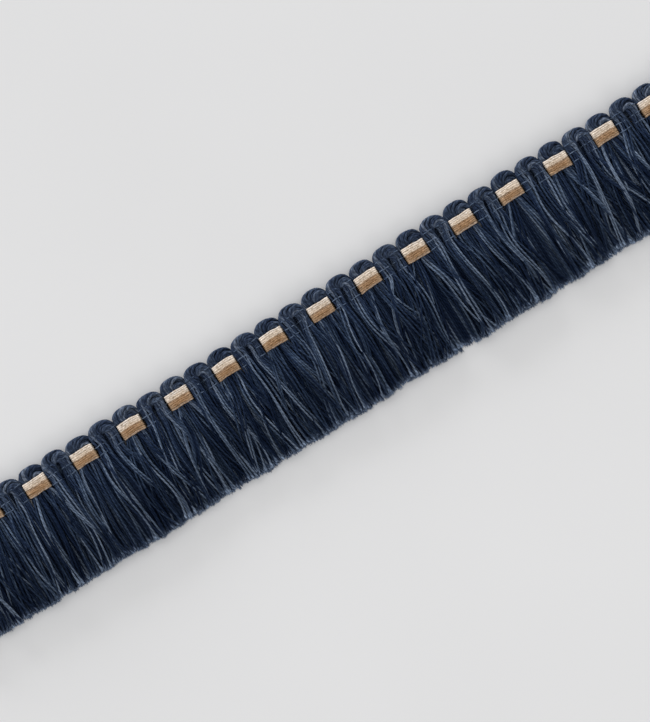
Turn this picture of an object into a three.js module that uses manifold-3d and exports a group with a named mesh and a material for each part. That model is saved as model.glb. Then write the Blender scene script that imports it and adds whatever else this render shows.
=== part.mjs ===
// Brush fringe trim: a looped heading, inlaid with two ribbons, over a skirt of cut strands.
// Millimetres. The trim lies on its back: +X runs along it, +Y points from the cut ends to the loops,
// +Z points out of its face. The origin is the middle of the skirt strip's back face.
import * as THREE from "three";
import { mergeVertices } from "three/addons/utils/BufferGeometryUtils.js";
import Module from "manifold-3d";

const wasm = await Module();
wasm.setup();

// Driving dimensions of the whole trim
const TRIM_HEIGHT = 38; // loop tops to the cut ends
const LOOP_PITCH = 8.1;
const LOOP_COUNT = 35;
const TRIM_LENGTH = LOOP_COUNT * LOOP_PITCH;
const CLEARANCE = 0.3; // between neighbouring pieces

// Heading: depths are measured downwards from the loop tops
const BUNDLE_DEPTH = 3; // thickness of a loop's yarn bundle, back to front
const ARCH_SPRING_DEPTH = 3.1; // where a loop's arch starts to turn
const ARCH_RADIUS_ALONG = 2.2; // bundle's middle line, along the trim
const ARCH_RADIUS_ACROSS = 1.6; // bundle's middle line, across the trim
const ARCH_HALF_WIDTH = 1.5;
const ARCH_STEPS = 4;
const LEG_SHOULDER_DROP = 0.15; // from the arch's spring to the leg's full shape
const WEB_HEIGHT = 0.9; // woven row that binds the legs together
const WEB_BITE = 0.5; // how far the legs reach into it

// Ribbons
const RIBBON_THICKNESS = 0.7;
const RIBBON_BEVEL = 0.4;
const RIBBON_CREAM_WIDTH = 2.25;
const RIBBON_TAN_WIDTH = 2.8;
const RIBBON_CREAM_TOP = 3.5;
const RIBBON_FLOAT_LENGTH = 7.7; // as seen on the face, over one loop
const RIBBON_TAN_TOP = RIBBON_CREAM_TOP + RIBBON_CREAM_WIDTH + CLEARANCE;
const RIBBON_TAN_FOOT = RIBBON_TAN_TOP + RIBBON_TAN_WIDTH;
const RIBBON_FRONT = BUNDLE_DEPTH + CLEARANCE + RIBBON_THICKNESS;

// The heading ends in its binding web, just under the ribbons
const WEB_TOP = RIBBON_TAN_FOOT + CLEARANCE;
const HEADING_FOOT = WEB_TOP + WEB_HEIGHT;

// Skirt: the strip that holds the roots, and the layers of strands from the back to the face
// fan draws a loop's roots together under it, as a share of the pitch of their tips
// stray is how far a layer's tips lie out of their even row, and swayFrom is where its sway starts
const STRIP_TOP = HEADING_FOOT + CLEARANCE;
const STRIP_HEIGHT = 2.2;
const STRIP_DEPTH = 3.2;
const ROOT_BITE = 0.6; // how far a strand's root reaches into the strip
const SKIRT_LAYERS = [
  { perLoop: 2, rootWidth: 2.8, tipWidth: 3.2, back: 0, spans: 2, fan: 0.96, stray: 0.2, swayFrom: 18 },
  { perLoop: 3, rootWidth: 1.7, tipWidth: 1.9, back: 1.45, spans: 2, fan: 0.86, stray: 0.4, swayFrom: 40 },
  { perLoop: 3, rootWidth: 1.4, tipWidth: 1.7, back: 2.9, spans: 4, fan: 0.72, stray: 0.6, swayFrom: 14 },
];
const STRAND_DEPTH = 1.2;
const STRAND_CREST = 0.62; // a strand's front width as a share of its back width
const END_MARGIN = 0.4; // keeps the outermost strands inside the trim's length
const UNEVEN_ENDS = 0.9; // how much the cut ends differ in length
const SWAY = 0.9; // how far whole stretches of strands lean along the trim
const SWAY_LENGTH = 47;
const BOW = 0.35; // sideways bow of a single strand
const STRAND_SEED = 38; // starts the repeatable row of chance values that make the strands uneven

const LOOP_TOP_Y = STRIP_TOP + STRIP_HEIGHT / 2;
const heightAt = (depth) => LOOP_TOP_Y - depth;
const loopMiddle = (index) => (index - (LOOP_COUNT - 1) / 2) * LOOP_PITCH;
const isInlaid = (index) => index % 2 === 1;

// The legs of an inlaid loop are drawn in by the ribbons, and an open loop sits in front of them
const PINCHED_OUTER = RIBBON_FLOAT_LENGTH / 2 - RIBBON_THICKNESS - CLEARANCE;
const LEG_GAP = 1.2; // slot between a loop's two legs
const LOOP_OUTER = ARCH_RADIUS_ALONG + ARCH_HALF_WIDTH;
const LOOP_KINDS = {
  inlaid: { legOuter: PINCHED_OUTER, back: 0 },
  open: { legOuter: LOOP_OUTER, back: RIBBON_THICKNESS + CLEARANCE },
};

const navyYarn = new THREE.MeshStandardMaterial({ color: 0x232f45, roughness: 0.9, metalness: 0 });
const creamYarn = new THREE.MeshStandardMaterial({ color: 0xdcc9b2, roughness: 0.6, metalness: 0 });
const tanYarn = new THREE.MeshStandardMaterial({ color: 0x9c7c58, roughness: 0.6, metalness: 0 });

// A chance value, as far above zero as below it
function chanceSpread(range) {
  return range * THREE.MathUtils.seededRandom() - range / 2;
}

// A closed skin over a row of sections with equally many points, with flat ends
function loft(sections, capOutline) {
  const count = sections[0].length;
  const last = (sections.length - 1) * count;
  const triangles = [];
  for (let s = 0; s + 1 < sections.length; s++) {
    for (let i = 0; i < count; i++) {
      const here = s * count + i;
      const next = s * count + ((i + 1) % count);
      triangles.push(here, next, next + count, here, next + count, here + count);
    }
  }
  for (const [a, b, c] of THREE.ShapeUtils.triangulateShape(capOutline, [])) {
    triangles.push(c, b, a, last + a, last + b, last + c);
  }
  const positions = sections.flat().flatMap((point) => point.toArray());
  return new THREE.BufferGeometry()
    .setAttribute("position", new THREE.Float32BufferAttribute(positions, 3))
    .setIndex(triangles);
}

function solidOf(geometry) {
  const bare = geometry.clone();
  bare.deleteAttribute("normal");
  bare.deleteAttribute("uv");
  const merged = mergeVertices(bare);
  const vertProperties = new Float32Array(merged.attributes.position.array);
  const triVerts = new Uint32Array(merged.index.array);
  return new wasm.Manifold(new wasm.Mesh({ numProp: 3, vertProperties, triVerts }));
}

// One geometry of several that overlap
function fuse(geometries) {
  const joined = geometries.map(solidOf).reduce((whole, piece) => whole.add(piece));
  const { vertProperties, triVerts } = joined.getMesh();
  return new THREE.BufferGeometry()
    .setAttribute("position", new THREE.BufferAttribute(vertProperties, 3))
    .setIndex(new THREE.BufferAttribute(triVerts, 1));
}

function bar(length, top, height, back, depth) {
  return new THREE.BoxGeometry(length, height, depth).translate(
    0,
    heightAt(top + height / 2),
    back + depth / 2,
  );
}

// Section of a yarn bundle, as shares of its half width and half depth: flat behind, two ridges in front
const BUNDLE_SECTION = [
  { across: -0.9, out: -1 },
  { across: 0.9, out: -1 },
  { across: 1, out: 0.5 },
  { across: 0.5, out: 1 },
  { across: 0, out: 0.72 },
  { across: -0.5, out: 1 },
  { across: -1, out: 0.5 },
].map(({ across, out }) => new THREE.Vector2(across, out));

// One bundle section, square to the bundle's run at an angle round the arch (0 right leg, PI left leg)
function bundleSection(middle, angle, halfWidth, back) {
  const across = new THREE.Vector3(Math.cos(angle), Math.sin(angle), 0);
  const middleOut = back + BUNDLE_DEPTH / 2;
  return BUNDLE_SECTION.map((share) =>
    middle
      .clone()
      .addScaledVector(across, share.x * halfWidth)
      .setZ(middleOut + (share.y * BUNDLE_DEPTH) / 2),
  );
}

// A loop: up its left leg, round the arch and down its right leg
function yarnLoop(index) {
  const { legOuter, back } = isInlaid(index) ? LOOP_KINDS.inlaid : LOOP_KINDS.open;
  const x = loopMiddle(index);
  const legHalf = (legOuter - LEG_GAP / 2) / 2;
  const legMiddle = legOuter - legHalf;
  const legDepths = [WEB_TOP + WEB_BITE, ARCH_SPRING_DEPTH + LEG_SHOULDER_DROP];
  const leg = (side, angle) =>
    legDepths.map((depth) =>
      bundleSection(new THREE.Vector3(x + side * legMiddle, heightAt(depth), 0), angle, legHalf, back),
    );
  const arch = [];
  for (let step = 0; step <= ARCH_STEPS; step++) {
    const angle = Math.PI * (1 - step / ARCH_STEPS);
    const middle = new THREE.Vector3(
      x + ARCH_RADIUS_ALONG * Math.cos(angle),
      heightAt(ARCH_SPRING_DEPTH) + ARCH_RADIUS_ACROSS * Math.sin(angle),
      0,
    );
    arch.push(bundleSection(middle, angle, ARCH_HALF_WIDTH, back));
  }
  return loft([...leg(-1, Math.PI), ...arch, ...leg(1, 0).reverse()], BUNDLE_SECTION);
}

function makeHeading() {
  const web = bar(TRIM_LENGTH, WEB_TOP, WEB_HEIGHT, 0, RIBBON_FRONT);
  const loops = Array.from({ length: LOOP_COUNT }, (_, index) => yarnLoop(index));
  const heading = new THREE.Mesh(fuse([web, ...loops]), navyYarn);
  heading.name = "heading";
  return heading;
}

// Section of a strand, as shares of its half width and its depth: flat behind, narrower in front
const STRAND_SECTION = [
  { across: -1, out: 0 },
  { across: 1, out: 0 },
  { across: STRAND_CREST, out: 1 },
  { across: -STRAND_CREST, out: 1 },
].map(({ across, out }) => new THREE.Vector2(across, out));

// The root-to-tip middle line of a strand leans with its stretch of the trim and bows a little
// The face layer's roots lie over the strip, and the others start inside it
function strandSections(layer, index) {
  const pitch = LOOP_PITCH / layer.perLoop;
  const count = LOOP_COUNT * layer.perLoop;
  const tipX = (index - (count - 1) / 2) * pitch;
  const loopX = loopMiddle(Math.floor(index / layer.perLoop));
  const rootX = loopX + (tipX - loopX) * layer.fan;
  const endRoom = TRIM_LENGTH / 2 - END_MARGIN - Math.abs(tipX) - layer.tipWidth / 2;
  const wave = SWAY * Math.sin((2 * Math.PI * (tipX + layer.swayFrom)) / SWAY_LENGTH);
  const lean = THREE.MathUtils.clamp(wave + chanceSpread(layer.stray), -endRoom, endRoom);
  const bow = chanceSpread(BOW);
  const front = layer.back + STRAND_DEPTH;
  const rootDepth = front > STRIP_DEPTH ? STRIP_TOP : STRIP_TOP + STRIP_HEIGHT - ROOT_BITE;
  const tipDepth = TRIM_HEIGHT - UNEVEN_ENDS * THREE.MathUtils.seededRandom();
  const sections = [];
  for (let span = 0; span <= layer.spans; span++) {
    const share = span / layer.spans;
    const half = THREE.MathUtils.lerp(layer.rootWidth, layer.tipWidth, share) / 2;
    const y = heightAt(THREE.MathUtils.lerp(rootDepth, tipDepth, share));
    const x =
      THREE.MathUtils.lerp(rootX, tipX, share) + lean * share * share + bow * Math.sin(Math.PI * share);
    sections.push(
      STRAND_SECTION.map(
        (share) => new THREE.Vector3(x + share.x * half, y, layer.back + share.y * STRAND_DEPTH),
      ),
    );
  }
  return sections;
}

function makeSkirt() {
  THREE.MathUtils.seededRandom(STRAND_SEED);
  const strands = SKIRT_LAYERS.flatMap((layer) =>
    Array.from({ length: LOOP_COUNT * layer.perLoop }, (_, index) =>
      loft(strandSections(layer, index), STRAND_SECTION),
    ),
  );
  const strip = bar(TRIM_LENGTH, STRIP_TOP, STRIP_HEIGHT, 0, STRIP_DEPTH);
  const skirt = new THREE.Mesh(fuse([strip, ...strands]), navyYarn);
  skirt.name = "skirt";
  return skirt;
}

// A ribbon's side outline: over each inlaid loop, and flat behind the open ones
function ribbonOutline() {
  const end = TRIM_LENGTH / 2;
  const floatOuter = RIBBON_FLOAT_LENGTH / 2;
  const floatInner = floatOuter - RIBBON_THICKNESS;
  const floatBack = RIBBON_FRONT - RIBBON_THICKNESS;
  const face = [[-end, RIBBON_THICKNESS]];
  const reverse = [[-end, 0]];
  for (let index = 0; index < LOOP_COUNT; index++) {
    if (!isInlaid(index)) continue;
    const x = loopMiddle(index);
    face.push([x - floatOuter, RIBBON_THICKNESS]);
    face.push([x - floatOuter, RIBBON_FRONT - RIBBON_BEVEL]);
    face.push([x - floatOuter + RIBBON_BEVEL, RIBBON_FRONT]);
    face.push([x + floatOuter - RIBBON_BEVEL, RIBBON_FRONT]);
    face.push([x + floatOuter, RIBBON_FRONT - RIBBON_BEVEL]);
    face.push([x + floatOuter, RIBBON_THICKNESS]);
    reverse.push([x - floatInner - RIBBON_BEVEL, 0]);
    reverse.push([x - floatInner, RIBBON_BEVEL]);
    reverse.push([x - floatInner, floatBack]);
    reverse.push([x + floatInner, floatBack]);
    reverse.push([x + floatInner, RIBBON_BEVEL]);
    reverse.push([x + floatInner + RIBBON_BEVEL, 0]);
  }
  face.push([end, RIBBON_THICKNESS]);
  reverse.push([end, 0]);
  return new THREE.Shape([...reverse, ...face.reverse()].map(([x, z]) => new THREE.Vector2(x, z)));
}

function makeRibbon(name, top, width, material) {
  const geometry = new THREE.ExtrudeGeometry(ribbonOutline(), { depth: width, bevelEnabled: false });
  const ribbon = new THREE.Mesh(geometry, material);
  ribbon.name = name;
  ribbon.rotation.x = Math.PI / 2;
  ribbon.position.y = heightAt(top);
  return ribbon;
}

const trim = new THREE.Group();
trim.add(makeHeading());
trim.add(makeSkirt());
trim.add(makeRibbon("ribbon_cream", RIBBON_CREAM_TOP, RIBBON_CREAM_WIDTH, creamYarn));
trim.add(makeRibbon("ribbon_tan", RIBBON_TAN_TOP, RIBBON_TAN_WIDTH, tanYarn));

export default trim;
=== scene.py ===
"""Brush fringe trim: every yarn of its looped heading, its two inlaid ribbons and its cut skirt."""
import math
from collections import namedtuple

import bpy
import numpy as np
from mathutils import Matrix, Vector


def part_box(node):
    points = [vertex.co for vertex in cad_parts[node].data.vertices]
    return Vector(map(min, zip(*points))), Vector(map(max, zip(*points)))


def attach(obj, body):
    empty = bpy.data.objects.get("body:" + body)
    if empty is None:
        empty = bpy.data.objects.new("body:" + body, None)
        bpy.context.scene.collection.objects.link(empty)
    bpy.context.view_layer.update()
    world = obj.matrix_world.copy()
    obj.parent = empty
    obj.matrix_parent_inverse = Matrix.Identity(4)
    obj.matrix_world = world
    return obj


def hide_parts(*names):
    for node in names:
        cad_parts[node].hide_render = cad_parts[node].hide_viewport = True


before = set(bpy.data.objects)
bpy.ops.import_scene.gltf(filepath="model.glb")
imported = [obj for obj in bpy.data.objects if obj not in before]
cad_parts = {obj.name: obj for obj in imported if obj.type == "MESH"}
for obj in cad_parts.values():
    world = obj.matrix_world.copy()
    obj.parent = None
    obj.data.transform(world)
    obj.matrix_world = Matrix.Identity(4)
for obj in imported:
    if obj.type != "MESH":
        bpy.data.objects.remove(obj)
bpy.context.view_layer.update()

# Sizes are in millimetres until a mesh is made. Depths run down from the loop tops to the cut ends.
# Waves are the longest and the shortest wave of a chance curve along the trim.
MM = 0.001
TINY = 1e-6
UP = np.array((0.0, 0.0, 1.0))
DOWN_TRIM = np.array((0.0, -1.0, 0.0))
YARN_SEED = 38
LOOP_SEED = 12
random = np.random.default_rng(YARN_SEED)
loop_random = np.random.default_rng(LOOP_SEED)

heading_low, heading_high = (np.array(corner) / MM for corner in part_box("heading"))
skirt_low, _ = (np.array(corner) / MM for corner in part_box("skirt"))
LOOP_COUNT = 35
LOOP_TOP = heading_high[1]
TRIM_LENGTH = heading_high[0] - heading_low[0]
TRIM_HEIGHT = LOOP_TOP - skirt_low[1]
PITCH = TRIM_LENGTH / LOOP_COUNT
loop_middles = (np.arange(LOOP_COUNT) - (LOOP_COUNT - 1) / 2) * PITCH
inlaid = np.arange(LOOP_COUNT) % 2 == 1  # the loops that the ribbons cross in front of

# Yarn
FLOOR_GAP = 0.02
YARN_SIDES = 5
YARN_PIECES = 4
HEADING_RADIUS = 0.32  # drawn tight by the binding
CROWN_RADIUS = 0.45
CROWN_REACH = 1.6  # how far down from its crown a loop keeps that radius
CROWN_FALL = 2
STRAND_RADIUS = 0.34  # blooms where it hangs free
BLOOM_SHARE = 0.2
GIRTH_UNEVEN = 0.04
FLARE = 1.25  # of a cut end
PALE_FLARE = 1.6
FLARE_FROM = 0.92
FRAYED_FROM = 0.985  # where a strand starts to thin out into its cut end
FRAYED = 0.65  # the share of its girth left at the very end
EASE = 0.5
EASE_PASSES = 3

# A leg's yarns stand in rows from the back to the face, and hang below it as layers of strands.
# fan spreads a layer from the middle of its leg and lean draws it aside with the others of its leg,
# stray is how far single strands go their own way, roll how far they rise over and sink below each other,
# and light is the share of pale ones.
Layer = namedtuple("Layer", "fan lean stray roll girth light")
LAYERS = (
    Layer(fan=1.0, lean=0.0, stray=0.1, roll=0.02, girth=1.2, light=0.05),
    Layer(fan=1.2, lean=0.4, stray=0.7, roll=0.3, girth=1.02, light=0.1),
    Layer(fan=1.6, lean=0.9, stray=1.2, roll=0.55, girth=0.93, light=0.2),
    Layer(fan=2.0, lean=1.15, stray=1.5, roll=0.6, girth=0.86, light=0.34),
)
LEG_ROWS = len(LAYERS)
LEG_COLUMNS = 6
BUNDLE = LEG_ROWS * LEG_COLUMNS
FIRST_COLUMN = 0.25
ROW_STAGGER = 0.5

# Loops of the heading. A leg reaches from its inner to its outer edge, and from its low to its high face.
# The ribbons pinch the legs of an inlaid loop, and an open loop lies in front of them.
# arch holds the two edges of the arch, and skew leans the top of the slot aside.
Loop = namedtuple("Loop", "inner outer arch skew low high crown_low crown_high")
INLAID_LOOP = Loop(
    inner=(0.05, 0.05), outer=(3.3, 3.7), arch=(0.05, 4.5), skew=0.0,
    low=0.02, high=3.1, crown_low=0.1, crown_high=3.6,
)
OPEN_LOOP = Loop(
    inner=(0.5, 0.0), outer=(4.0, 4.15), arch=(0.3, 4.45), skew=0.3,
    low=0.8, high=4.05, crown_low=0.4, crown_high=4.0,
)
ARCH_SQUARE = 0.8  # 1 is a round arch, less a squarer one
LOOP_LIFT = 0.18
LOOP_UNEVEN = 0.3
SPRING_DEPTH = 3.95  # where the arch starts
BOUND_DEPTHS = (4.7, 8.5)  # where a leg has its two inner and outer edges
HEADING_FOOT = 9.6
FOOT_INNER = 0.0
FOOT_OUTER = 4.3
# Rows behind the first place close the slot of an open loop, and rows in front of the second leave it open.
SLOT_FILL = (-0.9, -0.55)
SLOT_OVERLAP = -0.55
SLOT_CROWD = 1.4  # the rows that close the slot crowd towards it
LEG_STEPS = 9
ARCH_STEPS = 20
TWIST = math.pi  # a half turn of the bundle from one leg to the other
TWIST_STRETCH = 1.6
TWIST_DELAY = 0.3
WOBBLE = 0.35
WANDER = 0.17
CROWN_WANDER = 0.14
BACK_WANDER = 0.3  # the share of it at the back of a leg
WANDER_TURNS = 4.5

# Skirt: strands hang in locks of a few, and the locks of a leg together
SKIRT_SPANS = 23
LEG_SPREAD = 3.0  # how far the legs of a loop part from each other by their cut ends
LEG_STRAY = 2.6
LEG_DRIFT = 1.4
LEG_DRIFT_WAVES = (120, 25)
LEG_HEAVE = 0.25
LOCK_BREAK = 0.45  # how often a strand starts a new lock, and doesn't hang together with the one beside it
LOCK_SPREAD = 1.2
LOCK_SPLIT = 0.5
LOCK_BOW = 0.6
LOCK_SWERVE = 0.32
LOCK_CURL = 0.9
LOCK_UNEVEN = 0.13
SPLIT_POWER = 2
SPLAY_POWER = 5
LAYER_PITCH = 0.95
LAYER_LIFT = 0.45
STRAND_TOP = 3.9
ROLL_TURNS = (0.6, 1.7)
SETTLE_SHARE = 0.18
EVEN_SHARE = 0.12  # the lowest strands hang evenly from here on
DIVE_FROM = 3.5  # how far from its loop a strand starts to sink below its neighbours
DIVE = 0.22
END_SHORT = 0.46
END_UNEVEN = 0.2
END_WAVE = 0.65
END_WAVES = (60, 6)
END_LIMITS = (-0.4, 3)
END_SINK = 0.8  # how flat the cut ends lie
END_SPLAY = 0.4
SLANT_SHORT = 12  # how much shorter a slanting strand may be
SIDE_LIMITS = (-2.5, 0.3)  # how far past the end of the trim a strand may reach

# Ribbons: so many yarns side by side, each with its usual tone, from its upper to its lower edge
Ribbon = namedtuple("Ribbon", "node slot upper lower tones")
RIBBON_CREAM = Ribbon("ribbon_cream", "cream_yarn", upper=3.48, lower=5.52, tones=(0.95, 0.7, 0.36, 0.0))
RIBBON_TAN = Ribbon("ribbon_tan", "tan_yarn", upper=5.52, lower=8.14, tones=(0.62, 0.25, 0.08, 0.25, 0.85))
TONE_UNEVEN = 0.1
RIBBON_FLOAT = 7.55
FLOAT_MIDDLE = 0.75  # along each repeat of two loops
FLOAT_END = RIBBON_FLOAT / (4 * PITCH)  # from that middle
RIBBON_BEND = 0.65
RIBBON_ARC_STEPS = 5
RIBBON_TOP_STEPS = 4
RIBBON_BACK_AT = (0.75, 0.6)  # pitches from its middle where it lies flat behind
RIBBON_CROWN = 0.1
RIBBON_ROUND = 0.22  # how much lower the outer yarns of a ribbon lie
RIBBON_SIDES = 8
RIBBON_GIRTH = 1.26  # of a yarn, where 1 just touches the next
RIBBON_SWAY = 0.13
RIBBON_SWAY_WAVES = (40, 8)
SWAY_STEPS = 20  # for each loop
RIBBON_YARN_SWAY = 0.08
RIBBON_YARN_SWAY_WAVES = (20, 3)
RIBBON_YARN_HEAVE = 0.03
RIBBON_YARN_HEAVE_WAVES = (30, 5)

# Binding threads. Their ways over an open loop and behind an inlaid one go out from the loop's middle.
THREAD_RADIUS = 0.14
THREAD_SIDES = 5
THREAD_DEPTHS = (2.95, 5.52, 8.12)
THREAD_OVER = (
    (0, 1.2), (0.6, 2.3), (0.9, 3.75), (1.3, 4.0), (1.7, 3.8), (2.1, 3.5),
    (2.5, 3.95), (3.1, 4.05), (3.6, 4.0), (3.95, 3.5), (4.2, 2.0),
)
THREAD_BEHIND = ((0, 0.14), (3.0, 0.14), (3.7, 0.6))
THREAD_SWAY = 0.1
THREAD_SWAY_WAVES = (30, 3)
THREAD_HEAVE = 0.1
THREAD_HEAVE_WAVES = (24, 4)

# Fibres that splay from a cut end. Their offsets from its middle are shares of a strand's radius.
FIBRES_EACH = 8
FIBRE_SIDES = 3
FIBRE_BACK = 1.4
FIBRE_RADIUS = 0.085
FIBRE_TAPER = (1.0, 1.0, 0.6)
FIBRE_TOP = 4.4
FIBRE_ROOT = 0.75
FIBRE_BEND_AT = 0.35
FIBRE_BEND = 0.4
FIBRE_FLARE = (0.6, 2.4)
FIBRE_BEYOND = (-0.2, 0.6)

# Map: each yarn's colour is one row of a shared map, read along and round the yarn
MAP_NAME = "OFBake"
MAP_ROWS = 48
ROW_MARGIN = 0.1
CAP_ALONG = 0.002  # how far in from its row's end the face of a cut end is read
CAP_SPREAD = (0.9, 0.45)  # how far the corners of that face spread, along and round the yarn
DARK_ROWS = 30  # the rest are pale
FIBRE_MAP = (0.96, 0.999)  # the part of the row that a fibre runs along
THREAD_ROWS = (35, 39, 38)
THREAD_MAP = (0.2, 0.3)  # the part of the row that a thread runs to and fro on

# A ramp is a straight change between two places, and a streak is noise drawn out along a yarn.
Ramp = namedtuple("Ramp", "start end at_start at_end")
Streak = namedtuple("Streak", "along row around detail")
STREAK_ROUGHNESS = 0.6

# Navy yarn. Its ramps run from the crown of its loop, 0, to its cut ends, 1.
YARN_FINISH = {"Specular IOR Level": 0.1, "Specular Tint": (0.35, 0.55, 1.0, 1.0)}
NAVY_TONES = [
    (0.0, (0.004, 0.008, 0.0215)),
    (0.35, (0.011, 0.0185, 0.039)),
    (0.6, (0.0225, 0.0355, 0.0635)),
    (0.75, (0.055, 0.077, 0.118)),
    (1.0, (0.123, 0.157, 0.216)),
]
PLIES = 2
PLY_TURNS = 48
# Painted shade: the grooves between the plies are painted darker.
PLY_GROOVE_SHADE = 0.5
YARN_FIBRES = Streak(along=160, row=7, around=4, detail=3)
YARN_PATCHES = Streak(along=12, row=5, around=0, detail=2)
PATCH_TONE = 0.5
FIBRE_TONE = 0.3
EVEN_TONE = 0.54  # the tone that the yarns of the heading are drawn towards
EVEN_HEADING = Ramp(0.15, 0.6, 0.42, 0.0)
EVEN_CROWN = Ramp(0.1, 0.22, 0.16, 0.0)
# Painted light: the yarn is painted brightest at its crown and dimmer down its strands.
YARN_LIGHT = 0.8
FIBRE_LIGHT = 0.4
PAINTED_LIGHT_DOWN = Ramp(0.08, 0.75, 2.5, 1.11)
# Painted sheen: the crowns are tinted greyer and warmer, fading down the legs.
CROWN_PAINTED_SHEEN = (0.99, 0.86, 0.76, 1.0)
PAINTED_SHEEN_DOWN = Ramp(0.1, 0.3, 1.0, 0.0)
CUT_COLOUR = (0.086, 0.108, 0.148, 1.0)
CUT_FROM = Ramp(0.945, 0.995, 0.0, 1.0)
CUT_MIX = 0.65
# Painted light: the cut ends are painted brighter as well as paler.
CUT_PAINTED_LIGHT = 2.1
CREST_BUMP = 0.6
FIBRE_BUMP = 0.5
YARN_BUMP = {"Strength": 0.8, "Distance": 0.12 * MM}
YARN_ROUGH = 0.65
FIBRE_ROUGH = 0.2

# Silky ribbon yarn. Its ramps run out from the middle of each float.
SILK_FINISH = {"Specular IOR Level": 0.35}
# deep is the colour of a ribbon yarn's deeper patches, and pale the colour of its painted highlight at the
# bends.
Silk = namedtuple("Silk", "name tones deep pale uneven")
SILK_CREAM = Silk(
    name="cream_yarn",
    tones=[(0.0, (0.745, 0.615, 0.49)), (0.5, (0.66, 0.56, 0.465)), (1.0, (0.55, 0.5, 0.455))],
    deep=(0.63, 0.47, 0.31, 1.0),
    pale=(0.74, 0.66, 0.58, 1.0),
    uneven=1.0,
)
SILK_TAN = Silk(
    name="tan_yarn",
    tones=[(0.0, (0.285, 0.164, 0.084)), (0.5, (0.32, 0.199, 0.111)), (1.0, (0.39, 0.305, 0.24))],
    deep=(0.29, 0.142, 0.04, 1.0),
    pale=(0.42, 0.31, 0.21, 1.0),
    uneven=1.25,
)
FILAMENTS = Streak(along=6, row=11, around=15, detail=3)
SILK_PATCHES = Streak(along=20, row=3, around=1, detail=2)
DEEP_IN_PATCHES = Ramp(0.35, 0.6, 0.6, 0.0)
# Painted highlight: paler and brighter towards the bends at each end of a float.
PAINTED_HIGHLIGHT_AT_BEND = Ramp(0.12, 0.2, 0.0, 0.4)
PAINTED_LIGHT_AT_BEND = Ramp(0.1, 0.2, 1.0, 1.15)
# Painted shade where the ribbon dives between the loops, lifting again behind them.
PAINTED_SHADE_BELOW_BEND = Ramp(FLOAT_END - 0.03, FLOAT_END, 1.0, 0.25)
PAINTED_SHADE_LIFTS_BEHIND = Ramp(FLOAT_END + 0.02, FLOAT_END + 0.06, 0.25, 1.0)
SILK_LIGHT = 0.97
PATCH_LIGHT = 1.4
FILAMENT_LIGHT = 1.3
SILK_BUMP = {"Strength": 0.7, "Distance": 0.06 * MM}
SILK_ROUGH = 0.5
FILAMENT_ROUGH = 0.25

# Picture: it looks straight down on the trim, which rises to the right in it
PICTURE_HEIGHT = 722
PIXELS_PER_MM = 3.437
TRIM_SLOPE = math.radians(31.8)
PICTURE_MIDDLE = (-6.8, -7.7)
FACE_LEVEL = 3.0
LENS = 100
SENSOR = 36

# Floor and light, in metres
FLOOR_SIZE = 6
FLOOR_FINISH = {"Roughness": 0.9, "Specular IOR Level": 0.1}
FLOOR_GRAIN = {"Scale": 6.0, "Detail": 3.0}
FLOOR_TONES = [(0.3, (0.76, 0.76, 0.765)), (0.7, (0.79, 0.79, 0.795))]
ROOM_COLOUR = (1, 1, 1, 1)
ROOM_LIGHT = 0.685
LIGHT_AIM = (0, 0, 0)
Softbox = namedtuple("Softbox", "name place width height power")
SOFTBOXES = (
    Softbox("softbox_above", (0, 7.2, 9.2), width=7.2, height=6.4, power=112),
    Softbox("softbox_front", (0, -8.4, 4.4), width=7.2, height=3.6, power=152),
    Softbox("softbox_low", (0, 9.6, 1.36), width=10.4, height=2.0, power=1120),
)


def lerp(start, end, share):
    """The value a share of the way from start to end."""
    return start + (end - start) * share


def smooth(share):
    """Eases a share from 0 to 1."""
    held = np.clip(share, 0, 1)
    return held * held * (3 - 2 * held)


def drift(along, longest, shortest, waves=5):
    """A smooth chance curve along the trim, about -1 to 1."""
    total = np.zeros_like(along, dtype=float)
    for length in np.geomspace(longest, shortest, waves):
        total += np.sin(2 * np.pi * (along / length + random.random())) / math.sqrt(waves)
    return total


def squared(turn):
    """Draws a round arch's sine or cosine out towards a square one's."""
    return np.sign(turn) * np.abs(turn) ** ARCH_SQUARE


def unit(vectors):
    """Vectors of length 1 in the same directions."""
    return vectors / np.linalg.norm(vectors, axis=-1, keepdims=True)


def tube_rings(paths, radii, sides, reference):
    """Rings of points round each path, as (yarns, sections, sides, 3)."""
    run = unit(np.gradient(paths, axis=1))
    across = unit(np.cross(np.broadcast_to(reference, run.shape), run))
    out = np.cross(run, across)
    turn = 2 * np.pi * np.arange(sides)[:, None] / sides
    reach = np.cos(turn) * across[:, :, None, :] + np.sin(turn) * out[:, :, None, :]
    return paths[:, :, None, :] + radii[:, :, None, None] * reach


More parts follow.
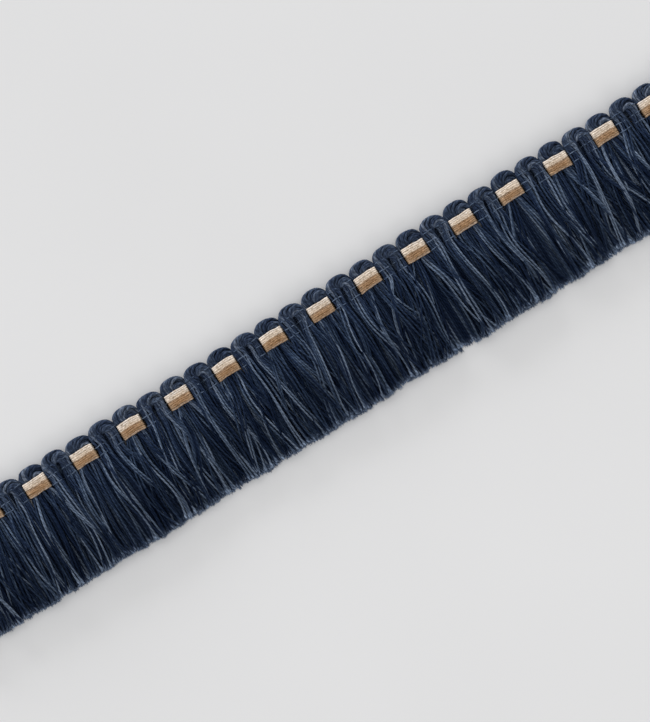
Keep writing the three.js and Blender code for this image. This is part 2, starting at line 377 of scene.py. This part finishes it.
class YarnMesh:
    """Collects tubes as arrays and joins them into one mesh."""

    def __init__(self):
        self.points = []
        self.faces = []
        self.places = []
        self.smooth = []
        self.count = 0

    def add(self, rings, starts, ends, rows):
        """Adds closed tubes. starts and ends place each span along the map, and rows gives its map row."""
        yarns, sections, sides, _ = rings.shape
        rows = np.broadcast_to(rows, starts.shape)
        index = self.count + np.arange(yarns * sections * sides).reshape(yarns, sections, sides)
        here, there = index[:, :-1], index[:, 1:]
        quads = np.stack([here, np.roll(here, -1, 2), np.roll(there, -1, 2), there], -1)
        self.points.append(rings.reshape(-1, 3))
        self.count += index.size
        self.faces += quads.reshape(-1, 4).tolist()
        self.faces += index[:, 0, ::-1].tolist()
        self.faces += index[:, -1].tolist()
        self.smooth += [True] * (quads.size // 4) + [False] * (2 * yarns)
        turn = np.arange(sides) / sides
        self.places.append(self.side_places(starts, ends, rows, turn))
        self.places.append(self.cap_places(starts[:, 0], rows[:, 0], -turn))
        self.places.append(self.cap_places(ends[:, -1], rows[:, -1], turn))

    @staticmethod
    def row_height(share):
        """How high in its row of the map a share of the way round a yarn lies."""
        return (ROW_MARGIN + (1 - 2 * ROW_MARGIN) * share) / MAP_ROWS

    def side_places(self, starts, ends, rows, turn):
        """Map places of the side faces' corners."""
        shape = (*starts.shape, len(turn))
        foot = rows[:, :, None] / MAP_ROWS
        low = np.broadcast_to(foot + self.row_height(turn), shape)
        high = np.broadcast_to(foot + self.row_height(turn + 1 / len(turn)), shape)
        start = np.broadcast_to(starts[:, :, None], shape)
        end = np.broadcast_to(ends[:, :, None], shape)
        corners = [(start, low), (start, high), (end, high), (end, low)]
        return np.stack([np.stack(corner, -1) for corner in corners], 3).reshape(-1, 2)

    def cap_places(self, along, rows, turn):
        """Map places of the corners of one end's faces."""
        angle = 2 * np.pi * turn
        inward = np.where(along < 0.5, CAP_ALONG, -CAP_ALONG)[:, None]
        u = along[:, None] + inward * (1 + CAP_SPREAD[0] * np.cos(angle))
        v = rows[:, None] / MAP_ROWS + self.row_height(0.5 + CAP_SPREAD[1] * np.sin(angle))
        return np.stack([u, v], -1).reshape(-1, 2)

    def make(self, name, material, slot, *nodes):
        """Makes the piece that shows instead of the named nodes."""
        mesh = bpy.data.meshes.new(name)
        mesh.from_pydata(np.concatenate(self.points) * MM, [], self.faces)
        layer = mesh.uv_layers.new(name=MAP_NAME)
        layer.uv.foreach_set("vector", np.concatenate(self.places).astype(np.float32).ravel())
        mesh.polygons.foreach_set("use_smooth", self.smooth)
        mesh.materials.append(material)
        piece = bpy.data.objects.new(name, mesh)
        bpy.context.scene.collection.objects.link(piece)
        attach(piece, "root")
        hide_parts(*nodes)


class Shade:
    """One socket of a material's nodes. Expressions on it add Math nodes."""

    COLOUR_A, COLOUR_B, COLOUR_RESULT = 6, 7, 2  # a Mix node's colour sockets

    def __init__(self, tree, socket=None):
        self.tree = tree
        self.socket = socket

    def node(self, kind, settings=None, inputs=None, output=0):
        """Adds a node, sets it up, then gives its sockets their values or links."""
        made = self.tree.nodes.new("ShaderNode" + kind)
        for name, value in (settings or {}).items():
            if name == "stops":
                self.set_stops(made.color_ramp.elements, value)
            else:
                setattr(made, name, value)
        for name, value in (inputs or {}).items():
            self.feed(made.inputs[name], value)
        return Shade(self.tree, made.outputs[output])

    def feed(self, socket, value):
        """Links a socket to a shade, or sets it to a plain value."""
        if isinstance(value, Shade):
            self.tree.links.new(value.socket, socket)
        else:
            socket.default_value = value

    @staticmethod
    def set_stops(elements, stops):
        """Gives a colour ramp its stops."""
        while len(elements) < len(stops):
            elements.new(1)
        for element, (position, colour) in zip(elements, stops):
            element.position = position
            element.color = (*colour, 1)

    def mix(self, blend, factor, one, other):
        """Mixes two colours."""
        settings = {"data_type": "RGBA", "blend_type": blend}
        sockets = {"Factor": factor, self.COLOUR_A: one, self.COLOUR_B: other}
        return self.node("Mix", settings, sockets, self.COLOUR_RESULT)

    def math(self, operation, *values):
        """Adds one Math node."""
        return self.node("Math", {"operation": operation}, dict(enumerate(values)))

    def __add__(self, other):
        return self.math("ADD", self, other)

    def __sub__(self, other):
        return self.math("SUBTRACT", self, other)

    def __rsub__(self, other):
        return self.math("SUBTRACT", other, self)

    def __mul__(self, other):
        return self.math("MULTIPLY", self, other)

    __radd__ = __add__
    __rmul__ = __mul__


def start_material(name, finish):
    """A new material with its constant values, its surface shader and a shade to build on."""
    material = bpy.data.materials.new(name)
    material.use_nodes = True
    surface = material.node_tree.nodes["Principled BSDF"]
    for socket, value in finish.items():
        surface.inputs[socket].default_value = value
    return material, surface, Shade(material.node_tree)


def yarn_map(shade):
    """(along, row, around): where on a yarn a point lies, and which map row that yarn has."""
    place = shade.node("UVMap", {"uv_map": MAP_NAME})
    along = shade.node("SeparateXYZ", inputs={"Vector": place}, output="X")
    height = shade.node("SeparateXYZ", inputs={"Vector": place}, output="Y") * MAP_ROWS
    row = height.math("FLOOR", height)
    around = (height - row - ROW_MARGIN) * (1 / (1 - 2 * ROW_MARGIN))
    return along, row, around


def streaks(shade, along, row, around, streak):
    """Chance values from 0 to 1, drawn out along the yarn."""
    across = row * streak.row + around * streak.around
    vector = shade.node("CombineXYZ", inputs={"X": along * streak.along, "Y": across})
    sockets = {"Vector": vector, "Scale": 1.0, "Detail": streak.detail, "Roughness": STREAK_ROUGHNESS}
    return shade.node("TexNoise", {"noise_dimensions": "2D"}, sockets)


def grey(shade, value):
    """A grey colour as light as the value."""
    return shade.node("CombineColor", inputs={"Red": value, "Green": value, "Blue": value})


def ramped(shade, value, ramp):
    """A value's straight change between the two places of a ramp."""
    sockets = {
        "Value": value,
        "From Min": ramp.start,
        "From Max": ramp.end,
        "To Min": ramp.at_start,
        "To Max": ramp.at_end,
    }
    return shade.node("MapRange", inputs=sockets)


def navy_yarn_material():
    """Spun yarn: a tone from its map row, twisted plies with painted shade in their grooves, fibre streaks,
    paler cut ends, painted light brightest at the crown and the cut ends, and a painted sheen on the crown.
    """
    material, surface, shade = start_material("navy_yarn", YARN_FINISH)
    along, row, around = yarn_map(shade)
    ply = (around * PLIES + along * PLY_TURNS) * (2 * math.pi)
    crest = ply.math("SINE", ply) * 0.5 + 0.5
    fibres = streaks(shade, along, row, around, YARN_FIBRES)
    patches = streaks(shade, along, row, around, YARN_PATCHES)
    from_middle = along - 0.5
    from_crown = from_middle.math("ABSOLUTE", from_middle) * 2
    own = row * (1 / (MAP_ROWS - 1))
    evening = ramped(shade, from_crown, EVEN_HEADING) + ramped(shade, from_crown, EVEN_CROWN)
    evened = own + (EVEN_TONE - own) * evening
    tone = evened + (patches - 0.5) * PATCH_TONE + (fibres - 0.5) * FIBRE_TONE
    colour = shade.node("ValToRGB", {"stops": NAVY_TONES}, {"Fac": tone})
    cut = ramped(shade, from_crown, CUT_FROM)
    cut = cut * cut
    colour = shade.mix("MIX", cut * CUT_MIX, colour, CUT_COLOUR)
    # Painted shade in the grooves between the plies, varied by the fibre streaks.
    shadow = crest * PLY_GROOVE_SHADE + fibres * FIBRE_LIGHT + (YARN_LIGHT - PLY_GROOVE_SHADE)
    # Painted light: brightest at the crown, dimmer down the strands, and brighter again at the cut ends.
    light = shadow * ramped(shade, from_crown, PAINTED_LIGHT_DOWN) * (cut * CUT_PAINTED_LIGHT + 1)
    colour = shade.mix("MULTIPLY", 1.0, colour, grey(shade, light))
    # Painted sheen: the crowns are tinted greyer and warmer.
    colour = shade.mix("MULTIPLY", ramped(shade, from_crown, PAINTED_SHEEN_DOWN), colour, CROWN_PAINTED_SHEEN)
    height = crest * CREST_BUMP + fibres * FIBRE_BUMP
    shade.feed(surface.inputs["Base Color"], colour)
    shade.feed(surface.inputs["Roughness"], fibres * FIBRE_ROUGH + YARN_ROUGH)
    shade.feed(surface.inputs["Normal"], shade.node("Bump", inputs={**YARN_BUMP, "Height": height}))
    return material


def ribbon_material(silk):
    """Smooth ribbon yarn: fine filaments drawn along it, deeper in colour in places, a painted highlight at
    the bends and painted shade where it dives between the loops.
    """
    material, surface, shade = start_material(silk.name, SILK_FINISH)
    along, row, around = yarn_map(shade)
    filaments = streaks(shade, along, row, around, FILAMENTS)
    patches = streaks(shade, along, row, around, SILK_PATCHES)
    around_repeat = along + (1.5 - FLOAT_MIDDLE)
    from_middle = around_repeat.math("FRACT", around_repeat) - 0.5
    from_middle = from_middle.math("ABSOLUTE", from_middle)
    colour = shade.node("ValToRGB", {"stops": silk.tones}, {"Fac": row * (1 / (MAP_ROWS - 1))})
    colour = shade.mix("MIX", ramped(shade, patches, DEEP_IN_PATCHES), colour, silk.deep)
    # Painted highlight: paler towards the bends.
    colour = shade.mix("MIX", ramped(shade, from_middle, PAINTED_HIGHLIGHT_AT_BEND), colour, silk.pale)
    # Painted shade where the ribbon dives between the loops, gone again behind them.
    front = ramped(shade, from_middle, PAINTED_SHADE_BELOW_BEND)
    light = front.math("MAXIMUM", front, ramped(shade, from_middle, PAINTED_SHADE_LIFTS_BEHIND))
    # Painted highlight: brighter towards the bends.
    light = light * ramped(shade, from_middle, PAINTED_LIGHT_AT_BEND)
    uneven = (patches - 0.5) * (PATCH_LIGHT * silk.uneven)
    uneven = uneven + (filaments - 0.5) * (FILAMENT_LIGHT * silk.uneven)
    colour = shade.mix("MULTIPLY", 1.0, colour, grey(shade, light * (uneven + SILK_LIGHT)))
    shade.feed(surface.inputs["Base Color"], colour)
    shade.feed(surface.inputs["Roughness"], filaments * FILAMENT_ROUGH + SILK_ROUGH)
    shade.feed(surface.inputs["Normal"], shade.node("Bump", inputs={**SILK_BUMP, "Height": filaments}))
    return material


def leg_grid():
    """Places of a leg's yarns in staggered rows, as (across, out) from -1 to 1."""
    row, column = np.divmod(np.arange(BUNDLE), LEG_COLUMNS)
    across = (column + FIRST_COLUMN + ROW_STAGGER * (row % 2)) / LEG_COLUMNS
    out = row / (LEG_ROWS - 1)
    return 2 * across - 1, 2 * out - 1


def turned_square(across, out, angle):
    """Turns places in a square about its middle, as if it were a disk."""
    reach = np.maximum(np.maximum(np.abs(across), np.abs(out)), TINY)
    heading = np.arctan2(out, across) + angle
    edge = np.maximum(np.abs(np.cos(heading)), np.abs(np.sin(heading)))
    return reach * np.cos(heading) / edge, reach * np.sin(heading) / edge


def bundle_places(share, rise):
    """Where each yarn lies in its bundle all the way round its loop, as (across, out) from -1 to 1."""
    across, out = (places[:, None] for places in leg_grid())
    wobble = random.normal(0, WOBBLE, (LOOP_COUNT, 1, 1)) * np.sin(np.pi * share)
    angle = TWIST * smooth(share * TWIST_STRETCH - TWIST_DELAY) + wobble
    across, out = turned_square(across, out, angle)
    waves = random.uniform(0, 2 * np.pi, (2, LOOP_COUNT, BUNDLE, 1)) + WANDER_TURNS * np.pi * share
    wander = lerp(WANDER, CROWN_WANDER, rise) * np.sin(waves) * lerp(BACK_WANDER, 1, (out + 1) / 2)
    return np.clip(across + wander[0], -1, 1), np.clip(out + wander[1], -1, 1)


def leg_edges(loop, leg_depth, side):
    """The inner and outer edge of a loop's bundle, from the arch to the foot."""
    depths = (SPRING_DEPTH, *BOUND_DEPTHS, HEADING_FOOT)
    inner = np.interp(leg_depth, depths, (loop.arch[0], *loop.inner, FOOT_INNER))
    inner = inner + loop.skew * side * np.interp(leg_depth, BOUND_DEPTHS, (1, 0))
    outer = np.interp(leg_depth, depths, (loop.arch[1], *loop.outer, FOOT_OUTER))
    return inner, outer


def heading_paths():
    """Each yarn's way up one leg, round the arch and down the other leg, as (loops, yarns, sections, 3)."""
    leg = np.linspace(HEADING_FOOT, SPRING_DEPTH, LEG_STEPS, endpoint=False)
    turn = np.linspace(0, np.pi, ARCH_STEPS + 1)
    side = np.concatenate([np.ones_like(leg), squared(np.cos(turn)), -np.ones_like(leg)])
    rise = np.concatenate([np.zeros_like(leg), squared(np.sin(turn)), np.zeros_like(leg)])
    leg_depth = np.concatenate([leg, np.full_like(turn, SPRING_DEPTH), leg[::-1]])
    across, out = bundle_places(np.linspace(0, 1, len(side)), rise)
    lift = LOOP_LIFT + LOOP_UNEVEN * loop_random.uniform(-1, 1, (LOOP_COUNT, 1, 1))
    radius = lerp(HEADING_RADIUS, CROWN_RADIUS, rise)
    x, y, z = np.empty((3, LOOP_COUNT, BUNDLE, len(side)))
    for loop, chosen in ((INLAID_LOOP, inlaid), (OPEN_LOOP, ~inlaid)):
        inner, outer = leg_edges(loop, leg_depth, side)
        open_share = smooth((out[chosen] - SLOT_FILL[0]) / (SLOT_FILL[1] - SLOT_FILL[0]))
        low = lerp(SLOT_OVERLAP, inner, open_share) + radius
        high = outer - radius
        reach = lerp(low, high, ((across[chosen] + 1) / 2) ** lerp(SLOT_CROWD, 1, open_share))
        x[chosen] = loop_middles[chosen, None, None] + side * reach
        y[chosen] = LOOP_TOP - leg_depth + rise * (reach + lift[chosen])
        back = lerp(loop.low, loop.crown_low, rise) + radius
        face = lerp(loop.high, loop.crown_high, rise) - radius
        z[chosen] = lerp(back, face, (out[chosen] + 1) / 2)
    return np.stack([x, y, z], -1)


def pale_yarns():
    """Which yarns are pale: one to three side by side in each row of a leg."""
    light = np.array([layer.light for layer in LAYERS])
    light = np.tile(np.maximum(light, light[::-1]), LOOP_COUNT)
    count = np.floor(light * LEG_COLUMNS + random.random(len(light)))
    first = random.integers(0, LEG_COLUMNS - 1, len(light))
    place = np.arange(LEG_COLUMNS) - first[:, None]
    return ((place >= 0) & (place < count[:, None])).ravel()


def lock_numbers(pale):
    """Each yarn's lock: a few yarns side by side in a row of their leg, all dark or all pale."""
    column = np.tile(np.arange(BUNDLE) % LEG_COLUMNS, LOOP_COUNT)
    breaks = ~pale & (random.random(len(column)) < LOCK_BREAK)
    starts = (column == 0) | (pale != np.roll(pale, 1)) | breaks
    return np.cumsum(starts) - 1


def tip_places(roots, kind, sides, middles, locks):
    """Where each strand's cut end lies along the trim."""
    leg_stray = np.repeat(random.normal(0, LEG_STRAY, 2 * LOOP_COUNT), BUNDLE)
    leg_stray = leg_stray + LEG_DRIFT * drift(middles, *LEG_DRIFT_WAVES)
    leg_middles = middles + sides * PITCH / 4
    lock_roots = (np.bincount(locks, roots) / np.bincount(locks))[locks]
    lock_stray = random.normal(0, 1, locks[-1] + 1)[locks]
    tips = lerp(leg_middles, lock_roots, kind.fan) + (roots - lock_roots) * LOCK_SPREAD
    tips = tips + kind.lean * (sides * LEG_SPREAD + leg_stray) + kind.stray * lock_stray
    limit = TRIM_LENGTH / 2 + random.uniform(*SIDE_LIMITS, len(tips))
    return np.clip(tips, -limit, limit)


def even_places(roots):
    """Evenly spaced places along the trim in the order of the roots."""
    reach = TRIM_LENGTH / 2 - STRAND_RADIUS
    places = np.empty_like(roots)
    places[np.argsort(roots)] = np.linspace(-reach, reach, len(roots))
    return places


def strand_shares():
    """How far down a strand its sections lie."""
    return np.append(np.linspace(0, FRAYED_FROM, SKIRT_SPANS), 1)


def strand_sways(roots, tips, kind, layers, locks):
    """Each strand's places along the trim, from its root to its cut end."""
    share = strand_shares()
    lock_shape = (locks[-1] + 1, 1)
    bow = random.normal(0, LOCK_BOW, lock_shape)[locks] * np.sin(np.pi * share)
    swerve = random.normal(0, LOCK_SWERVE, lock_shape)[locks] * np.sin(2 * np.pi * share)
    curl = random.uniform(0, LOCK_CURL, lock_shape)[locks]
    split = random.normal(0, LOCK_SPLIT, (len(roots), 1)) * share**SPLIT_POWER
    splay = random.normal(0, END_SPLAY, (len(roots), 1)) * share**SPLAY_POWER
    x = lerp(roots[:, None], tips[:, None], lerp(share, smooth(share), curl))
    x = x + kind.stray[:, None] * (bow + swerve) + split + splay
    lowest = layers == 0
    even = even_places(roots[lowest])
    x[lowest] = lerp(roots[lowest, None], even[:, None], smooth(share / EVEN_SHARE))
    return x


def cut_heights(roots, tips, locks):
    """How high on the trim each strand's cut end lies."""
    slant = np.arctan2(tips - roots, TRIM_HEIGHT - HEADING_FOOT)
    short = random.normal(END_SHORT, END_UNEVEN, len(tips))
    short = short + random.normal(0, LOCK_UNEVEN, locks[-1] + 1)[locks]
    short = short + END_WAVE * (1 + drift(tips, *END_WAVES)) / 2
    short = short + SLANT_SHORT * (1 - np.cos(slant)) * random.random(len(tips))
    return LOOP_TOP - TRIM_HEIGHT + np.clip(short, *END_LIMITS)


def strand_levels(x, kind, layers, middles, locks):
    """How high above the floor each strand lies, once it has settled below the heading."""
    share = strand_shares()
    lock_shape = (locks[-1] + 1, 1)
    leg_heave = np.repeat(random.normal(0, LEG_HEAVE, 2 * LOOP_COUNT), BUNDLE)
    waves = random.uniform(0, 1, lock_shape) + share * random.uniform(*ROLL_TURNS, lock_shape)
    rolled = kind.roll[:, None] * np.sin(2 * np.pi * waves[locks]) * smooth(share / BLOOM_SHARE)
    level = (LAYER_LIFT + LAYER_PITCH * layers + leg_heave * kind.lean)[:, None] + rolled
    sunk = DIVE * np.maximum(np.abs(x - middles[:, None]) - DIVE_FROM, 0)
    return np.clip(level - sunk, LAYER_LIFT, STRAND_TOP) * lerp(1, END_SINK, smooth(share))


def strand_paths(roots, layers, locks):
    """Each strand's way from its root under the heading to its cut end, first for all right legs."""
    share = strand_shares()
    root_x, root_y, root_z = roots.T
    sides = np.repeat((1.0, -1.0), len(roots) // 2)
    middles = np.tile(np.repeat(loop_middles, BUNDLE), 2)
    kind = Layer(*(np.array(column)[layers] for column in zip(*LAYERS)))
    tips = tip_places(root_x, kind, sides, middles, locks)
    x = strand_sways(root_x, tips, kind, layers, locks)
    y = lerp(root_y[:, None], cut_heights(root_x, tips, locks)[:, None], share)
    level = strand_levels(x, kind, layers, middles, locks)
    z = lerp(root_z[:, None], level, smooth(share / SETTLE_SHARE))
    return np.stack([x, y, z], -1)


def eased(paths):
    """Rounds off each path's kinks."""
    for _ in range(EASE_PASSES):
        between = (paths[:, :-2] + paths[:, 2:]) / 2
        paths[:, 1:-1] = lerp(paths[:, 1:-1], between, EASE)
    return paths


def yarn_paths():
    """Whole yarns, from one cut end round the loop to the other, and the layers of their two strands."""
    loops = heading_paths()
    right_layer = np.tile(np.arange(BUNDLE) // LEG_COLUMNS, LOOP_COUNT)
    left_layer = LEG_ROWS - 1 - right_layer
    loops = loops.reshape(-1, *loops.shape[2:])
    roots = np.concatenate([loops[:, 0], loops[:, -1]])
    pale = pale_yarns()
    locks = lock_numbers(pale)
    leg_locks = np.concatenate([locks, locks + locks[-1] + 1])
    strands = strand_paths(roots, np.concatenate([right_layer, left_layer]), leg_locks)
    right, left = np.split(strands, 2)
    whole = np.concatenate([right[:, :0:-1], loops, left[:, 1:]], 1)
    return eased(whole), right_layer, left_layer, pale


def yarn_radii(sections, right_layer, left_layer, pale):
    """Each yarn's radius by section: bound in the heading, fuller round the crown and where it hangs."""
    girth = np.array([layer.girth for layer in LAYERS])
    strand = strand_shares()[1:]
    widest = np.where(pale, PALE_FLARE, FLARE)[:, None]
    flare = lerp(1, widest, smooth((strand - FLARE_FROM) / (FRAYED_FROM - FLARE_FROM)))
    flare[:, -1] *= FRAYED
    bloom = smooth(strand / BLOOM_SHARE)
    right, left = (
        lerp(HEADING_RADIUS, STRAND_RADIUS * girth[layer][:, None], bloom) * flare
        for layer in (right_layer, left_layer)
    )
    place = np.linspace(-1, 1, sections - 2 * SKIRT_SPANS)
    crown = smooth(CROWN_REACH - CROWN_FALL * np.abs(place))
    heading = np.broadcast_to(lerp(HEADING_RADIUS, CROWN_RADIUS, crown), (len(right), len(place)))
    radii = np.concatenate([right[:, ::-1], heading, left], 1)
    return radii * random.normal(1, GIRTH_UNEVEN, (len(radii), 1))


def yarn_rows(pale):
    """Each yarn's map row."""
    dark_row = random.integers(0, DARK_ROWS, len(pale))
    pale_row = random.integers(DARK_ROWS, MAP_ROWS, len(pale))
    return np.where(pale, pale_row, dark_row)


def along_path(paths):
    """Each section's share of its path's length."""
    steps = np.linalg.norm(np.diff(paths, axis=1), axis=-1)
    gone = np.concatenate([np.zeros((len(paths), 1)), np.cumsum(steps, 1)], 1)
    return gone / gone[:, -1:]


def make_yarns(material):
    """The yarns of heading and skirt, in pieces of several loops. Gives their paths and map rows."""
    paths, right_layer, left_layer, pale = yarn_paths()
    rows = yarn_rows(pale)[:, None]
    along = along_path(paths)
    radii = yarn_radii(paths.shape[1], right_layer, left_layer, pale)
    paths[:, :, 2] = np.maximum(paths[:, :, 2], radii + FLOOR_GAP)
    rings = tube_rings(paths, radii, YARN_SIDES, UP)
    loop_of = np.repeat(np.arange(LOOP_COUNT), BUNDLE)
    for number, loops in enumerate(np.array_split(np.arange(LOOP_COUNT), YARN_PIECES), 1):
        chosen = np.isin(loop_of, loops)
        yarns = YarnMesh()
        yarns.add(rings[chosen], along[chosen, :-1], along[chosen, 1:], rows[chosen])
        yarns.make(f"fringe_yarn_{number}", material, "navy_yarn", "heading", "skirt")
    return paths, rows


def make_cut_fibres(paths, rows, material):
    """Short fibres that splay from each cut end."""
    fibres = YarnMesh()
    for end, before in ((0, 1), (-1, -2)):
        tip = np.repeat(paths[:, end], FIBRES_EACH, 0)
        run = unit(tip - np.repeat(paths[:, before], FIBRES_EACH, 0))
        across = unit(np.cross(UP, run))
        count = len(tip)
        angle = random.uniform(0, 2 * np.pi, (count, 1))
        spoke = np.cos(angle) * across + np.sin(angle) * np.cross(run, across)
        flare = random.uniform(*FIBRE_FLARE, (count, 1))
        beyond = random.uniform(*FIBRE_BEYOND, (count, 1))
        stations = [
            tip - run * FIBRE_BACK + spoke * FIBRE_ROOT * STRAND_RADIUS,
            tip - run * FIBRE_BEND_AT * FIBRE_BACK + spoke * lerp(1, flare, FIBRE_BEND) * STRAND_RADIUS,
            tip + run * beyond + spoke * flare * STRAND_RADIUS,
        ]
        fibre = np.stack(stations, 1)
        fibre[:, :, 2] = np.clip(fibre[:, :, 2], FIBRE_RADIUS + FLOOR_GAP, FIBRE_TOP)
        radii = np.broadcast_to(FIBRE_RADIUS * np.array(FIBRE_TAPER), fibre.shape[:2])
        rings = tube_rings(fibre, radii, FIBRE_SIDES, UP)
        along = np.linspace(*FIBRE_MAP, len(stations))
        along = np.broadcast_to(along if end else 1 - along, fibre.shape[:2])
        fibres.add(rings, along[:, :-1], along[:, 1:], np.repeat(rows, FIBRES_EACH, 0))
    fibres.make("cut_fibres", material, "navy_yarn", "skirt")


def ribbon_profile(back, front, radius):
    """A ribbon yarn's side view: over each inlaid loop, flat behind the open ones."""
    quarter = np.linspace(0, np.pi / 2, RIBBON_ARC_STEPS)
    reach = RIBBON_FLOAT / 2 - radius
    low_x = -reach - RIBBON_BEND * (1 - np.sin(quarter))
    low_z = back + RIBBON_BEND * (1 - np.cos(quarter))
    high_x = -reach + RIBBON_BEND * (1 - np.cos(quarter))
    high_z = front - RIBBON_BEND * (1 - np.sin(quarter))
    top_x = np.linspace(-reach + RIBBON_BEND, 0, RIBBON_TOP_STEPS)[1:]
    top_z = front + RIBBON_CROWN * np.cos(np.pi / 2 * top_x / reach)
    left_x = np.concatenate([low_x, high_x, top_x])
    left_z = np.concatenate([low_z, high_z, top_z])
    flat_x = -PITCH * np.array(RIBBON_BACK_AT)
    flat_z = np.full_like(flat_x, back)
    x = np.concatenate([flat_x, left_x, -left_x[-2::-1], -flat_x[::-1]])
    z = np.concatenate([flat_z, left_z, left_z[-2::-1], flat_z])
    middles = loop_middles[inlaid]
    whole_x = np.concatenate([[-TRIM_LENGTH / 2], (middles[:, None] + x).ravel(), [TRIM_LENGTH / 2]])
    whole_z = np.concatenate([[back], np.tile(z, len(middles)), [back]])
    return whole_x, whole_z


def ribbon_sway():
    """Places along the trim and how far both ribbons sway aside there."""
    places = np.linspace(-TRIM_LENGTH / 2, TRIM_LENGTH / 2, SWAY_STEPS * LOOP_COUNT)
    return places, RIBBON_SWAY * drift(places, *RIBBON_SWAY_WAVES)


def make_ribbon(ribbon, material, sway):
    """The yarns of one ribbon, side by side. Their map starts again at each repeat of two loops."""
    low, high = (np.array(corner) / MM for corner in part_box(ribbon.node))
    count = len(ribbon.tones)
    pitch = (ribbon.lower - ribbon.upper) / count
    radius = pitch / 2 * RIBBON_GIRTH
    x, z = ribbon_profile(low[2] + radius, high[2] - radius, radius)
    in_front = z > (low[2] + high[2]) / 2
    paths = np.empty((count, len(x), 3))
    for number in range(count):
        outward = abs(2 * (number + 0.5) / count - 1)
        sunk = RIBBON_ROUND * outward**2 * in_front
        aside = np.interp(x, *sway) + RIBBON_YARN_SWAY * drift(x, *RIBBON_YARN_SWAY_WAVES)
        heave = RIBBON_YARN_HEAVE * drift(x, *RIBBON_YARN_HEAVE_WAVES)
        paths[number, :, 0] = x
        paths[number, :, 1] = LOOP_TOP - ribbon.upper - pitch * (number + 0.5) + aside
        paths[number, :, 2] = np.maximum(z - sunk + heave, radius + FLOOR_GAP)
    rings = tube_rings(paths, np.full(paths.shape[:2], radius), RIBBON_SIDES, DOWN_TRIM)
    repeat = np.clip((x + TRIM_LENGTH / 2) / (2 * PITCH), 0, None)
    starts = np.broadcast_to(repeat[:-1] % 1, (count, len(x) - 1))
    ends = np.minimum(starts + np.diff(repeat), 1)
    tones = np.array(ribbon.tones)[:, None] + random.normal(0, TONE_UNEVEN, (count, LOOP_COUNT))
    rows = np.clip(tones * MAP_ROWS, 0, MAP_ROWS - 1).astype(int)[:, repeat[:-1].astype(int)]
    yarns = YarnMesh()
    yarns.add(rings, starts, ends, rows)
    yarns.make(ribbon.node + "_yarn", material, ribbon.slot, ribbon.node)


def make_threads(material):
    """Fine threads that bind the outer yarns of the open loops and pass behind the inlaid ones."""
    over, behind = (
        np.concatenate([half[:0:-1] * (-1, 1), half])
        for half in (np.array(THREAD_OVER), np.array(THREAD_BEHIND))
    )
    route = [(behind if crossed else over) + (at, 0) for at, crossed in zip(loop_middles, inlaid)]
    x, z = np.concatenate(route).T
    threads = YarnMesh()
    for depth, row in zip(THREAD_DEPTHS, THREAD_ROWS):
        y = LOOP_TOP - depth + THREAD_SWAY * drift(x, *THREAD_SWAY_WAVES)
        height = np.maximum(z + THREAD_HEAVE * drift(x, *THREAD_HEAVE_WAVES), THREAD_RADIUS + FLOOR_GAP)
        path = np.stack([x, y, height], -1)[None]
        rings = tube_rings(path, np.full(path.shape[:2], THREAD_RADIUS), THREAD_SIDES, DOWN_TRIM)
        along = lerp(*THREAD_MAP, np.abs(along_path(path) * LOOP_COUNT % 2 - 1))
        threads.add(rings, along[:, :-1], along[:, 1:], np.array([[row]]))
    threads.make("binding_threads", material, "navy_yarn", "heading")


def make_camera():
    """A camera straight above the trim."""
    data = bpy.data.cameras.new("camera")
    data.lens = LENS
    data.sensor_width = SENSOR
    camera = bpy.data.objects.new("camera", data)
    distance = PICTURE_HEIGHT / PIXELS_PER_MM * LENS / SENSOR
    camera.location = (PICTURE_MIDDLE[0] * MM, PICTURE_MIDDLE[1] * MM, (FACE_LEVEL + distance) * MM)
    camera.rotation_euler = (0, 0, -TRIM_SLOPE)
    bpy.context.scene.collection.objects.link(camera)
    bpy.context.scene.camera = camera


def make_floor():
    """A plain pale floor under the trim."""
    bpy.ops.object.select_all(action="DESELECT")
    bpy.ops.mesh.primitive_plane_add(size=FLOOR_SIZE, location=(0, 0, 0))
    floor = bpy.context.object
    floor.name = "floor"
    material, surface, shade = start_material("pale_paper", FLOOR_FINISH)
    place = shade.node("TexCoord", output="Object")
    grain = shade.node("TexNoise", inputs={"Vector": place, **FLOOR_GRAIN})
    colour = shade.node("ValToRGB", {"stops": FLOOR_TONES}, {"Fac": grain})
    shade.feed(surface.inputs["Base Color"], colour)
    floor.data.materials.append(material)


def add_softbox(softbox):
    """A large soft light that faces the trim."""
    data = bpy.data.lights.new(softbox.name, "AREA")
    data.shape = "RECTANGLE"
    data.size = softbox.width
    data.size_y = softbox.height
    data.energy = softbox.power
    light = bpy.data.objects.new(softbox.name, data)
    light.location = softbox.place
    direction = np.array(LIGHT_AIM) - np.array(softbox.place)
    light.rotation_euler = (
        math.atan2(math.hypot(direction[0], direction[1]), -direction[2]),
        0,
        math.atan2(direction[1], direction[0]) - math.pi / 2,
    )
    bpy.context.scene.collection.objects.link(light)


def make_light():
    """Soft studio light: a white room and three softboxes."""
    world = bpy.data.worlds.new("studio")
    world.use_nodes = True
    background = world.node_tree.nodes["Background"]
    background.inputs["Color"].default_value = ROOM_COLOUR
    background.inputs["Strength"].default_value = ROOM_LIGHT
    bpy.context.scene.world = world
    for softbox in SOFTBOXES:
        add_softbox(softbox)
    bpy.context.scene.view_settings.view_transform = "Standard"


make_camera()
make_light()
make_floor()
navy_yarn = navy_yarn_material()
yarn_places, yarn_map_rows = make_yarns(navy_yarn)
make_cut_fibres(yarn_places, yarn_map_rows, navy_yarn)
make_threads(navy_yarn)
both_sway = ribbon_sway()
make_ribbon(RIBBON_CREAM, ribbon_material(SILK_CREAM), both_sway)
make_ribbon(RIBBON_TAN, ribbon_material(SILK_TAN), both_sway)
